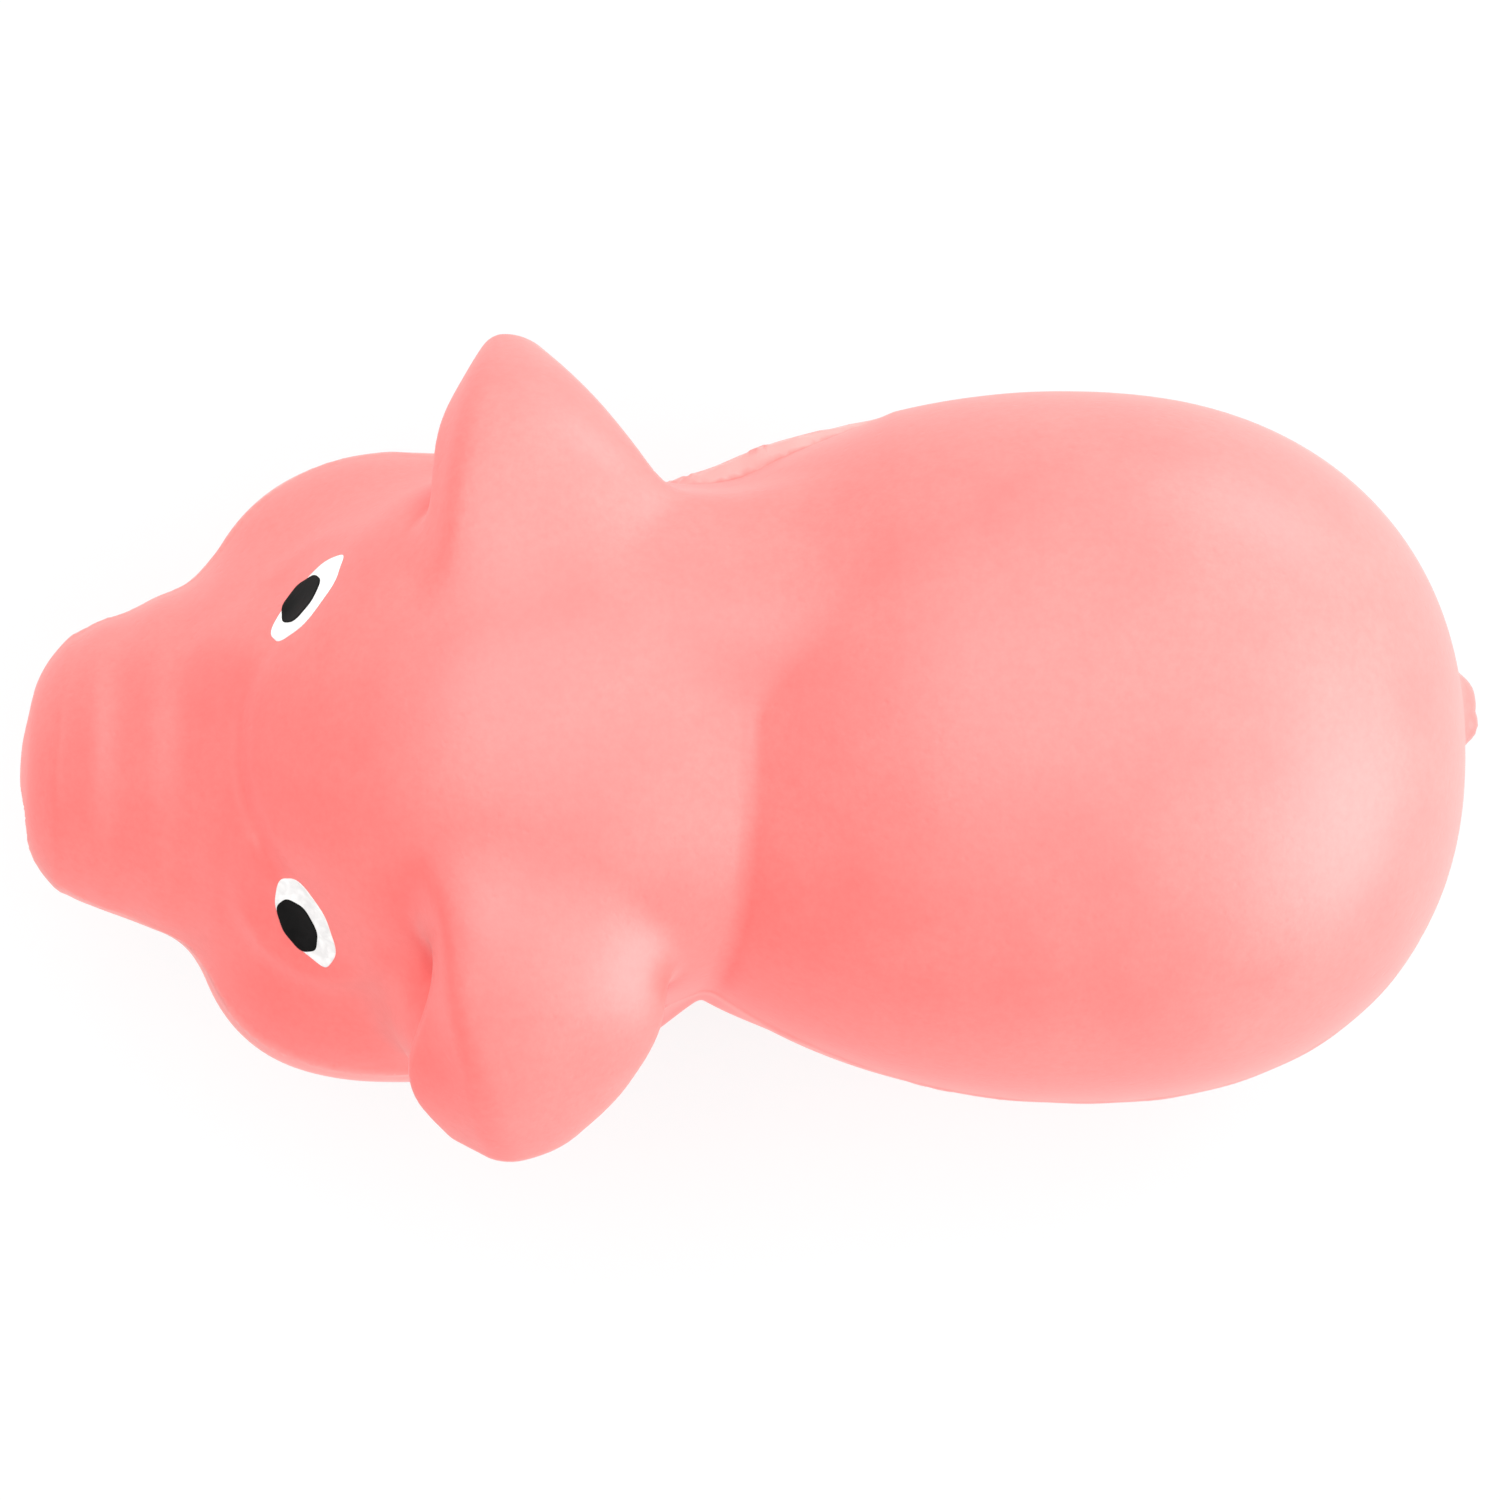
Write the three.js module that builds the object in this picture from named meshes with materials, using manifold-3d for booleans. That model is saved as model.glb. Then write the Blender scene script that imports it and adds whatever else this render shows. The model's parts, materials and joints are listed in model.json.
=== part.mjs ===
// A squeezable foam pig, about 95 mm long, that stands on four stub legs.
// It is self-skinned soft foam: a dense skin over a soft core, with thin painted eyes.
// Millimetres and degrees, +Z up, floor at z = 0, snout towards -X, the pig's left side at -Y.
// Pieces are drawn with x = 0 at the middle of the neck, and the finished toy is centred at the end.
import * as THREE from "three";
import { mergeVertices } from "three/addons/utils/BufferGeometryUtils.js";
import Module from "manifold-3d";

const wasm = await Module();
wasm.setup();

// Fits
const seatGap = 0.3; // between pieces that meet without turning
const turnGap = 0.4; // around a ball that turns in its socket
const skinThickness = 1.2; // dense outer skin of the foam

// Torso, from its widest point
const axisHeight = 28; // torso axis above the floor
const torsoBehindNeck = 26.3;
const torsoFront = 33.5;
const torsoRear = 24.6;
const torsoSide = 22.9;
const torsoTop = 21;
const torsoBottom = 20.5;
const torsoSquareness = 2; // at the shoulders: 2 is an ellipsoid, more is boxier
const torsoRearSquareness = 2.25;
const torsoHeightSquareness = 2.2;
const shoulderDrop = 1.8; // the back is that much lower at the shoulders
const mouldSlip = 2.5; // the lower half of the mould sat that far to the right at the shoulders
const mouldLine = 4; // above the torso's axis
const mouldStep = 1; // that far above and below its line the slip fades

// Swellings low on the torso, over the front and the rear legs
const shoulderBehindNeck = 7.6;
const shoulderOut = 8;
const shoulderBelowAxis = 8;
const shoulderRadius = 10.2;
const haunchBehindNeck = 36.6;
const haunchOut = 10;
const haunchBelowAxis = 11;
const haunchRadius = 10;

// Patch of back skin that a thumb presses in
const backBehindNeck = 30;
const backLength = 34;
const backWidth = 30;

// Neck, a foam ball that the head rocks on
const neckHeight = 28; // its centre above the floor
const neckRadius = 14.4;
const neckTilt = 17; // the crease leans back at its top
const neckGap = 3.4; // between the torso's rim and the head's rim

// Head: wide jowls with a higher forehead dome
const jowlAhead = 15.7;
const jowlDrop = 6; // below the neck's centre
const jowlFront = 17.2;
const jowlRear = 18;
const jowlSide = 20.6;
const jowlTop = 9.5;
const jowlBottom = 12;
const jowlSquareness = 3;
const jowlHeightSquareness = 2.2;
const domeAhead = 10;
const domeRise = 0.4;
const domeFront = 18.5;
const domeRear = 24;
const domeSide = 18.1;
const domeTop = 17;
const domeBottom = 15;
const domeSquareness = 2.1;
const napeSquareness = 2.6; // the back of the head is fuller

// Snout: a disc in front of a wrinkled bridge
const snoutReach = 43.2; // front of the disc ahead of the neck
const snoutDrop = 5.5; // axis of the disc below the neck's centre
const snoutRise = 1.5; // how far the axis climbs from the disc to the root
const snoutTipLength = 6.3;
const snoutTipRadius = 8.5;
const snoutRootRadius = 13.6;
const snoutRootLength = 15.5; // where the taper reaches the root radius
const snoutEdgeRadius = 3.2;
const snoutHeightRatio = 0.86;
const wrinkleLength = 4.3;
const wrinkleDepth = 0.7;
const nostrilSpacing = 6.4;
const nostrilWidth = 2.6;
const nostrilHeight = 3.8;
const nostrilDepth = 1.6;

// Ears: thick flaps that droop outwards
const earRootAhead = 8.7;
const earTipAhead = 11.6;
const earRootOut = 7;
const earBendOut = 17;
const earTipOut = 26.7;
const earRootRise = 10.5; // above the neck's centre
const earBendRise = 15.2;
const earTipRise = 3;
const earWidth = 16.5;
const earThickness = 7.6;

// Eyes: a painted almond with a round pupil
const eyeAhead = 24.4;
const eyeOut = 10.6;
const eyeRise = 6;
const eyeAzimuth = 46; // turned outwards from straight ahead
const eyeElevation = 26;
const eyeLength = 7.2;
const eyeHeight = 5.4;
const pupilDiameter = 3.9;
const pupilAhead = 0.3;
const pupilDrop = 0.75;
const paintThickness = 0.5;

// Legs
const legSpread = 23; // between left and right hips
const hipSink = 1; // hip centre above the belly's surface
const frontLegBehindNeck = 13.1;
const frontLegRadius = 6.2;
const rearLegBehindNeck = 36.1;
const rearLegRadius = 7;
const footRadius = 6;
const footHeight = 4;
const ankleWaist = 0.5; // how much a leg narrows above its foot
const soleEdge = 1.2;

// Tail: a curl moulded on the rump
const tailOut = 2.5; // to the pig's right
const tailDrop = 1;
const tailCurlRadius = 2.1;
const tailEndRadius = 1.2;
const tailThickness = 2;
const tailTurn = 290;

// Facets
const aroundForm = 22;
const alongForm = 12;
const aroundCore = 12;
const alongCore = 8;
const aroundNeck = 20;
const alongNeck = 12;
const aroundLeg = 16;
const alongHip = 8;
const aroundSnout = 18;
const aroundEar = 16;
const alongEar = 10;
const aroundNostril = 10;
const sideReach = 200; // larger than the toy, for cutting blocks

const { degToRad, lerp, smoothstep } = THREE.MathUtils;

function solid(geometry) {
  const bare = new THREE.BufferGeometry().setAttribute("position", geometry.getAttribute("position"));
  const merged = mergeVertices(bare.setIndex(geometry.index), 1e-4);
  const mesh = new wasm.Mesh({
    numProp: 3,
    vertProperties: merged.getAttribute("position").array,
    triVerts: new Uint32Array(merged.index.array),
  });
  return new wasm.Manifold(mesh);
}

function geometryOf(manifold) {
  const { numProp, numVert, vertProperties, triVerts } = manifold.getMesh();
  const points = new Float32Array(numVert * 3);
  for (let i = 0; i < numVert; i++) {
    points.set(vertProperties.subarray(i * numProp, i * numProp + 3), i * 3);
  }
  const geometry = new THREE.BufferGeometry();
  geometry.setAttribute("position", new THREE.BufferAttribute(points, 3));
  geometry.setIndex(new THREE.BufferAttribute(triVerts, 1));
  geometry.computeVertexNormals();
  return geometry;
}

function movePoints(geometry, move) {
  const position = geometry.getAttribute("position");
  const point = new THREE.Vector3();
  for (let i = 0; i < position.count; i++) {
    move(point.fromBufferAttribute(position, i));
    position.setXYZ(i, point.x, point.y, point.z);
  }
  return geometry;
}

// The largest body of a cut, without any sliver that the cut leaves in a fold.
function mainBody(manifold) {
  return manifold.decompose().reduce((a, b) => (a.volume() > b.volume() ? a : b));
}

// Rounded forms, each with its own reach to every side of its centre.
const torsoForm = {
  centre: [torsoBehindNeck, 0, axisHeight],
  front: torsoFront, rear: torsoRear, side: torsoSide, top: torsoTop, bottom: torsoBottom,
  squareness: torsoSquareness, rearSquareness: torsoRearSquareness,
  heightSquareness: torsoHeightSquareness, settle: settleTorso,
};
const jowlForm = {
  centre: [-jowlAhead, 0, neckHeight - jowlDrop],
  front: jowlFront, rear: jowlRear, side: jowlSide, top: jowlTop, bottom: jowlBottom,
  squareness: jowlSquareness, heightSquareness: jowlHeightSquareness,
};
const domeForm = {
  centre: [-domeAhead, 0, neckHeight + domeRise],
  front: domeFront, rear: domeRear, side: domeSide, top: domeTop, bottom: domeBottom,
  squareness: domeSquareness, heightSquareness: domeSquareness, rearHeightSquareness: napeSquareness,
};

// A form may be boxier towards its rear, and may settle a little out of its own round.
function roundedForm(form, grow, around = aroundForm, along = alongForm) {
  const { centre, front, rear, side, top, bottom, squareness, heightSquareness, settle } = form;
  const { rearSquareness = squareness, rearHeightSquareness = heightSquareness } = form;
  const geometry = new THREE.SphereGeometry(1, around, along).rotateZ(Math.PI / 2);
  movePoints(geometry, (p) => {
    const behind = smoothstep(p.x, -0.3, 0.3);
    const across = lerp(squareness, rearSquareness, behind);
    const upward = lerp(heightSquareness, rearHeightSquareness, behind);
    const plan = (Math.abs(p.x) ** across + Math.abs(p.y) ** across) ** (1 / across);
    p.divideScalar((plan ** upward + Math.abs(p.z) ** upward) ** (1 / upward));
    p.x *= (p.x < 0 ? front : rear) + grow;
    p.y *= side + grow;
    p.z *= (p.z < 0 ? bottom : top) + grow;
    settle?.(p);
  });
  return solid(geometry.translate(...centre));
}

// The back falls towards the neck, and below the mould's line the right shoulder stands out.
function settleTorso(p) {
  const forward = smoothstep(-p.x / torsoFront, 0.2, 0.75);
  const belowLine = smoothstep(-p.z, -mouldLine - mouldStep, mouldStep - mouldLine);
  const aboveBelly = smoothstep(p.z, -torsoBottom, -torsoBottom / 2);
  const onRight = smoothstep(p.y, -torsoSide / 8, torsoSide / 4);
  p.y += mouldSlip * forward * belowLine * aboveBelly * onRight;
  p.z -= p.z > 0 ? shoulderDrop * forward * (p.z / torsoTop) : 0;
}

// How far up or down a form's surface lies, at a place given as shares of its reach along and across.
function heightShare(form, shareX, shareY) {
  const across = shareX < 0 ? form.squareness : form.rearSquareness;
  const plan = (Math.abs(shareX) ** across + Math.abs(shareY) ** across) ** (1 / across);
  return Math.max(1 - plan ** form.heightSquareness, 0) ** (1 / form.heightSquareness);
}

// How far back a form's surface lies, at a place given as shares of its reach across and up.
function rearShare(form, shareY, shareZ) {
  const plan = Math.max(1 - Math.abs(shareZ) ** form.heightSquareness, 0) ** (1 / form.heightSquareness);
  const left = plan ** form.rearSquareness - Math.abs(shareY) ** form.rearSquareness;
  return Math.max(left, 0) ** (1 / form.rearSquareness);
}

// The torso's round with the swellings over the legs, which settle as it does.
function torsoOutside() {
  const places = [
    [shoulderBehindNeck, shoulderOut, shoulderBelowAxis, shoulderRadius],
    [haunchBehindNeck, haunchOut, haunchBelowAxis, haunchRadius],
  ];
  const swellings = places.flatMap(([x, y, below, radius]) => [-y, y].map((out) => {
    const swelling = new THREE.SphereGeometry(radius, aroundLeg, alongHip).rotateX(Math.PI / 2);
    swelling.translate(x - torsoBehindNeck, out, -below);
    return solid(movePoints(swelling, settleTorso).translate(...torsoForm.centre));
  }));
  return wasm.Manifold.union([roundedForm(torsoForm, 0), ...swellings]);
}

function headForm(grow, around, along) {
  return roundedForm(jowlForm, grow, around, along).add(roundedForm(domeForm, grow, around, along));
}

// Everything on one side of a plane parallel to the neck's crease, at a distance behind the crease.
function neckCut(behind, keepRear) {
  const block = new THREE.BoxGeometry(sideReach, sideReach, sideReach);
  block.translate(behind + (keepRear ? -1 : 1) * sideReach / 2, 0, 0);
  block.rotateY(degToRad(neckTilt)).translate(0, 0, neckHeight);
  return solid(block);
}

function neckBall(grow) {
  const ball = new THREE.SphereGeometry(neckRadius + grow, aroundNeck, alongNeck);
  return solid(ball.rotateX(Math.PI / 2).translate(0, 0, neckHeight));
}

const legs = {
  front: legPlace(frontLegBehindNeck, frontLegRadius),
  rear: legPlace(rearLegBehindNeck, rearLegRadius),
};

// A hip sits a little inside the belly's surface, so the leg's length follows the belly.
function legPlace(x, radius) {
  const offset = x - torsoBehindNeck;
  const shareX = offset / (offset < 0 ? torsoFront : torsoRear);
  const belly = axisHeight - torsoBottom * heightShare(torsoForm, shareX, legSpread / 2 / torsoSide);
  return { x, radius, hip: belly + hipSink };
}

// Room for each leg: a ball round its hip and a column down to the floor.
function hipSockets() {
  const rooms = [];
  for (const { x, radius, hip } of Object.values(legs)) {
    const fit = radius + turnGap;
    for (const y of [-legSpread / 2, legSpread / 2]) {
      const ball = new THREE.SphereGeometry(fit, aroundLeg, alongHip);
      const column = new THREE.CylinderGeometry(fit, fit, hip, aroundLeg).translate(0, -hip / 2, 0);
      rooms.push(...[ball, column].map((room) => solid(room.rotateX(Math.PI / 2).translate(x, y, hip))));
    }
  }
  return wasm.Manifold.union(rooms);
}

// The upright column of the thumb patch, from the torso's axis to above its back.
function backColumn(grow) {
  const column = new THREE.CylinderGeometry(1, 1, sideReach, aroundForm).rotateX(Math.PI / 2);
  column.scale(backLength / 2 + grow, backWidth / 2 + grow, 1);
  return solid(column.translate(backBehindNeck, 0, axisHeight + sideReach / 2));
}

function torsoPieces() {
  const hollow = roundedForm(torsoForm, -skinThickness, aroundCore, alongCore);
  const shell = torsoOutside().subtract(hollow);
  const openings = wasm.Manifold.union([neckCut(neckGap / 2, true), neckBall(turnGap), hipSockets()]);
  const core = roundedForm(torsoForm, -skinThickness - seatGap, aroundCore, alongCore);
  return {
    skin: geometryOf(shell.subtract(openings).subtract(backColumn(seatGap))),
    back: geometryOf(shell.intersect(backColumn(0))),
    core: geometryOf(core.subtract(openings)),
  };
}

function headPieces() {
  const openings = neckCut(-neckGap / 2, false).add(neckBall(turnGap));
  const shell = headForm(0).subtract(headForm(-skinThickness, aroundCore, alongCore));
  const core = headForm(-skinThickness - seatGap, aroundCore, alongCore);
  return {
    skin: geometryOf(shell.subtract(openings)),
    core: geometryOf(core.subtract(openings)),
  };
}

// A turned form about the snout's axis, from [radius, distance behind the front] stations.
function snoutTurned(stations) {
  const profile = stations.map(([radius, behind]) => new THREE.Vector2(radius, snoutReach - behind));
  const geometry = new THREE.LatheGeometry(profile.reverse(), aroundSnout).rotateZ(Math.PI / 2);
  movePoints(geometry, (p) => {
    p.z = p.z * snoutHeightRatio + snoutRise * (snoutReach + p.x) / snoutRootLength;
  });
  return solid(geometry.translate(0, 0, neckHeight - snoutDrop));
}

function snoutRadius(behind) {
  const taper = lerp(snoutTipRadius, snoutRootRadius, behind / snoutRootLength);
  const phase = (behind - snoutTipLength) / wrinkleLength;
  const groove = Math.max(Math.cos(2 * Math.PI * phase), 0) ** 2;
  return taper - wrinkleDepth * groove;
}

function snoutTip() {
  const edgeSteps = 4;
  const stations = [[0, 0]];
  for (let i = 0; i <= edgeSteps; i++) {
    const turn = (i / edgeSteps) * Math.PI / 2;
    const inset = snoutEdgeRadius * (1 - Math.sin(turn));
    stations.push([snoutTipRadius - inset, snoutEdgeRadius * (1 - Math.cos(turn))]);
  }
  const back = snoutTipLength - seatGap / 2;
  stations.push([snoutRadius(back), back], [0, back]);
  const nostrils = [-1, 1].map((side) => {
    const hollow = new THREE.SphereGeometry(1, aroundNostril, aroundNostril / 2);
    hollow.scale(nostrilDepth, nostrilWidth / 2, nostrilHeight / 2);
    return solid(hollow.translate(-snoutReach, side * nostrilSpacing / 2, neckHeight - snoutDrop));
  });
  return geometryOf(snoutTurned(stations).subtract(wasm.Manifold.union(nostrils)));
}

function snoutBridge() {
  const steps = 9;
  const front = snoutTipLength + seatGap / 2;
  const stations = [[0, front]];
  for (let i = 0; i <= steps; i++) {
    const behind = lerp(front, snoutRootLength, i / steps);
    stations.push([snoutRadius(behind), behind]);
  }
  stations.push([0, snoutRootLength]);
  return geometryOf(mainBody(snoutTurned(stations).subtract(headForm(seatGap))));
}

// Share of the ear's full section, rounded off at the hidden root and at the blunt tip.
function earTaper(along) {
  return Math.min(6 * along, 1) ** 0.5 * Math.min((1.06 - along) / 0.42, 1);
}

// A flap along a bent spine: it tapers to a blunt tip, and its root is hidden until the head cuts it.
function ear() {
  const spine = new THREE.QuadraticBezierCurve3(
    new THREE.Vector3(-earRootAhead, earRootOut, neckHeight + earRootRise),
    new THREE.Vector3(-earRootAhead, earBendOut, neckHeight + earBendRise),
    new THREE.Vector3(-earTipAhead, earTipOut, neckHeight + earTipRise),
  );
  const across = new THREE.Vector3(1, 0, 0);
  const geometry = new THREE.SphereGeometry(1, aroundEar, alongEar);
  movePoints(geometry, (p) => {
    const along = (1 - p.y) / 2;
    const ring = Math.hypot(p.x, p.z);
    const fullness = ring > 1e-6 ? earTaper(along) / ring / 2 : 0;
    const thick = new THREE.Vector3().crossVectors(spine.getTangent(along), across).normalize();
    const [width, height] = [p.x * fullness * earWidth, p.z * fullness * earThickness];
    p.copy(spine.getPoint(along)).addScaledVector(across, width).addScaledVector(thick, height);
  });
  return geometryOf(mainBody(solid(geometry).subtract(headForm(seatGap))));
}

// A prism through the eye, along the direction that it faces.
function eyePrism(shape) {
  const depth = 2 * eyeLength;
  const prism = new THREE.ExtrudeGeometry(shape, { depth, bevelEnabled: false, curveSegments: 7 });
  const [turn, lift] = [degToRad(eyeAzimuth), degToRad(eyeElevation)];
  const outward = new THREE.Vector3(
    -Math.cos(lift) * Math.cos(turn), Math.cos(lift) * Math.sin(turn), Math.sin(lift));
  prism.translate(0, 0, -depth / 2);
  const level = new THREE.Vector3().crossVectors(new THREE.Vector3(0, 0, 1), outward).normalize();
  const upward = new THREE.Vector3().crossVectors(outward, level);
  prism.applyMatrix4(new THREE.Matrix4().makeBasis(level, upward, outward));
  return solid(prism.translate(-eyeAhead, eyeOut, neckHeight + eyeRise));
}

function pupilShape(grow) {
  return new THREE.Shape().absarc(pupilAhead, -pupilDrop, pupilDiameter / 2 + grow, 0, 2 * Math.PI);
}

function eyePieces() {
  const almond = new THREE.Shape().absellipse(0, 0, eyeLength / 2, eyeHeight / 2, 0, 2 * Math.PI);
  const film = headForm(seatGap + paintThickness).subtract(headForm(seatGap));
  const white = eyePrism(almond).subtract(eyePrism(pupilShape(seatGap)));
  return {
    white: geometryOf(mainBody(film.intersect(white))),
    pupil: geometryOf(mainBody(film.intersect(eyePrism(pupilShape(0))))),
  };
}

// A stub leg about its own upright axis, with a ball top that fills the hip socket.
function leg({ radius, hip }) {
  const topSteps = 5;
  const profile = [
    [0, 0], [footRadius - soleEdge, 0], [footRadius - soleEdge / 3, soleEdge / 3],
    [footRadius, soleEdge], [footRadius - ankleWaist, footHeight], [radius, hip],
  ];
  for (let i = 1; i <= topSteps; i++) {
    const turn = (i / topSteps) * Math.PI / 2;
    profile.push([radius * Math.max(Math.cos(turn), 0), hip + radius * Math.sin(turn)]);
  }
  profile.at(-1)[0] = 0;
  const points = profile.map(([r, z]) => new THREE.Vector2(r, z));
  return geometryOf(solid(new THREE.LatheGeometry(points, aroundLeg).rotateX(Math.PI / 2)));
}

// A short curl that lies on the rump and is half sunk in it.
function tail() {
  const steps = 12;
  const points = Array.from({ length: steps + 1 }, (_, i) => {
    const turn = degToRad(-90 + (i / steps) * tailTurn);
    const radius = lerp(tailCurlRadius, tailEndRadius, i / steps);
    const y = tailOut + radius * Math.cos(turn);
    const z = -tailDrop + radius * Math.sin(turn);
    const rump = torsoRear * rearShare(torsoForm, y / torsoSide, z / torsoTop);
    return new THREE.Vector3(torsoBehindNeck + rump + tailThickness / 4, y, axisHeight + z);
  });
  const section = new THREE.Shape().absarc(0, 0, tailThickness / 2, 0, 2 * Math.PI);
  const extrudePath = new THREE.CatmullRomCurve3(points);
  const curl = new THREE.ExtrudeGeometry(section, { steps, curveSegments: 4, extrudePath });
  return geometryOf(mainBody(solid(curl).subtract(roundedForm(torsoForm, seatGap))));
}

const skinFoam = new THREE.MeshStandardMaterial({ color: "#ff9692", roughness: 0.55, metalness: 0 });
const coreFoam = new THREE.MeshStandardMaterial({ color: "#ffb9b4", roughness: 0.9, metalness: 0 });
const whitePaint = new THREE.MeshStandardMaterial({ color: "#f1eeec", roughness: 0.4, metalness: 0 });
const blackPaint = new THREE.MeshStandardMaterial({ color: "#151414", roughness: 0.35, metalness: 0 });

function piece(name, geometry, material) {
  const mesh = new THREE.Mesh(geometry, material.clone());
  mesh.name = name;
  return mesh;
}

// The same piece on the pig's right side, as drawn, and mirrored on its left.
function pair(name, geometry, material, { x = 0, y = 0 } = {}) {
  return [["right", 1], ["left", -1]].map(([sideName, side]) => {
    const mesh = piece(`${name}_${sideName}`, geometry, material);
    mesh.position.set(x, side * y, 0);
    mesh.scale.y = side;
    return mesh;
  });
}

function makeTorso() {
  const { skin, back, core } = torsoPieces();
  return new THREE.Group().add(
    piece("torso_skin", skin, skinFoam),
    piece("back_skin", back, skinFoam),
    piece("torso_core", core, coreFoam),
    piece("neck_core", geometryOf(neckBall(0)), coreFoam),
    piece("tail", tail(), skinFoam),
  );
}

function makeHead() {
  const { skin, core } = headPieces();
  const { white, pupil } = eyePieces();
  return new THREE.Group().add(
    piece("head_skin", skin, skinFoam),
    piece("head_core", core, coreFoam),
    piece("snout_tip", snoutTip(), skinFoam),
    piece("snout_bridge", snoutBridge(), skinFoam),
    ...pair("ear", ear(), skinFoam),
    ...pair("eye_white", white, whitePaint),
    ...pair("pupil", pupil, blackPaint),
  );
}

function makeLegs() {
  const made = Object.entries(legs).flatMap(([end, place]) =>
    pair(`leg_${end}`, leg(place), skinFoam, { x: place.x, y: legSpread / 2 }),
  );
  return new THREE.Group().add(...made);
}

const pig = new THREE.Group().add(makeTorso(), makeHead(), makeLegs());
pig.name = "foam_pig";
const extent = new THREE.Box3().setFromObject(pig);
pig.position.x = -(extent.min.x + extent.max.x) / 2;

export default pig;
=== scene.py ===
# %% [markdown]
# # A foam pig, dressed over its solids
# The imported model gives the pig's bodies, joints and sizes. This lesson loads it as a fixed frame and
# builds the skin that the eye sees: one soft pink moulding, parted where the foam bends, with painted eyes.
# Blender works in metres, and the shapes here are worked out in millimetres. The x axis runs from the snout
# to the tail, y to the pig's right and z up.

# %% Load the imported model
import json
import math

import bmesh
import bpy
import numpy as np
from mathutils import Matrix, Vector


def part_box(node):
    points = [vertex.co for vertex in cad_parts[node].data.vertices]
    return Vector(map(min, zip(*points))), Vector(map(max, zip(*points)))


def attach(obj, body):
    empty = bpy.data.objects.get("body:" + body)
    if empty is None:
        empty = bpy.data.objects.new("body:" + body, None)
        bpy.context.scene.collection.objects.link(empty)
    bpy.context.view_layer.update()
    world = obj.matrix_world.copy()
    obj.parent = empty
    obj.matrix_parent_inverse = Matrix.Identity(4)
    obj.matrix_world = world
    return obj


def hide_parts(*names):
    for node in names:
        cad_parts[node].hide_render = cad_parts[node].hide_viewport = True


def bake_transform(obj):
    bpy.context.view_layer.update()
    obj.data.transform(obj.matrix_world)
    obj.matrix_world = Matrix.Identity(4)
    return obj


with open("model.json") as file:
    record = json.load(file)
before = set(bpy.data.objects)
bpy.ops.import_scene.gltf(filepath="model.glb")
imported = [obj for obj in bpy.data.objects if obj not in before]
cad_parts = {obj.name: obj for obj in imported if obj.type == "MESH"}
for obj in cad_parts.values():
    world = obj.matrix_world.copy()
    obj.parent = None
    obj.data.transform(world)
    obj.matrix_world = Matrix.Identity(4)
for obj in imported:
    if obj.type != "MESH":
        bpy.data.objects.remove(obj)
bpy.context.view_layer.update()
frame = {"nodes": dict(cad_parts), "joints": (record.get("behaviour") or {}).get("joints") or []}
joints = {joint["name"]: joint for joint in frame["joints"]}
print("solids:", len(frame["nodes"]), "joints:", len(joints))

# %% [markdown]
# ## The camera
# The photograph looks down on the toy from almost straight above, a little from the pig's left, with the
# snout at the left of the frame. The camera could be set by eye in the viewport. Here its distance follows
# from the scale of the picture at the toy's mid height, so that the two outlines can be compared. A long
# lens keeps the outline nearly flat, as in a catalogue picture.

# %% Camera
photo_pixels, pixels_per_mm = 1500, 15.35
picture_width = photo_pixels / pixels_per_mm / 1000
elevation, turn, lens = math.radians(84), math.radians(-0.45), 200
target = Vector((0, 0.0004, 0.026))

camera = bpy.data.objects.new("camera", bpy.data.cameras.new("camera"))
bpy.context.scene.collection.objects.link(camera)
bpy.context.scene.camera = camera
camera.data.lens = lens
camera.data.clip_start = 0.01
camera.rotation_euler = (math.pi / 2 - elevation, 0, turn)
toward = Vector((math.sin(turn) * math.cos(elevation), -math.cos(turn) * math.cos(elevation),
                 math.sin(elevation)))
camera.location = target + toward * picture_width * lens / camera.data.sensor_width
print("camera distance, m:", round((camera.location - target).length, 3))

# %% [markdown]
# ## Lumps, fillets and grooves
# A moulded toy can start as clay: lumps pressed together, joints smoothed with a thumb, lines drawn in with
# a tool. It could be sculpted by hand in Blender. Here the same moves are written as distances, because a
# distance can be asked for at any point: it is negative inside the foam, zero on the skin and positive
# outside. `lump` is one ball of clay whose reach differs to each side, `merge` presses two together with a
# fillet, `trim` cuts one by another with a rounded edge, and `line` is the profile of a drawn line. `ramp`
# fades a thing in from one place to another, so most numbers in it are places along an axis, in millimetres.

# %% Clay tools


def lump(p, centre, front, rear, side, top, bottom, plan=2.0, height=2.0):
    """Distance to a rounded lump. The powers plan and height make it squarer than 2 does."""
    q = p - centre
    along = np.abs(q[:, 0]) / np.where(q[:, 0] < 0, front, rear)
    out = np.abs(q[:, 1]) / side
    up = np.abs(q[:, 2]) / np.where(q[:, 2] < 0, bottom, top)
    ring = (along**plan + out**plan) ** (1 / plan)
    reach = (ring**height + up**height) ** (1 / height)
    return np.linalg.norm(q, axis=1) * (1 - 1 / np.maximum(reach, 1e-9))


def merge(a, b, fillet):
    """Two forms pressed together, with a fillet about that wide."""
    share = np.clip(0.5 + 0.5 * (b - a) / fillet, 0, 1)
    return b + (a - b) * share - fillet * share * (1 - share)


def trim(a, b, rounding):
    """What two forms have in common, with a rounded edge."""
    return -merge(-a, -b, rounding)


def line(distance, width):
    """1 on a drawn line, fading to 0 about a width away from it."""
    return np.exp(-((distance / width) ** 2))


def ramp(value, start, end):
    """Rises smoothly from 0 at start to 1 at end."""
    x = np.clip((value - start) / (end - start), 0, 1)
    return x * x * (3 - 2 * x)


def to_right(p):
    """Points folded over to the pig's right side, for what comes in pairs."""
    return np.abs(p) * [0, 1, 0] + p * [1, 0, 1]


print("2 mm outside a 10 mm ball:", lump(np.array([[12.0, 0, 0]]), np.zeros(3), 10, 10, 10, 10, 10))

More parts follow.
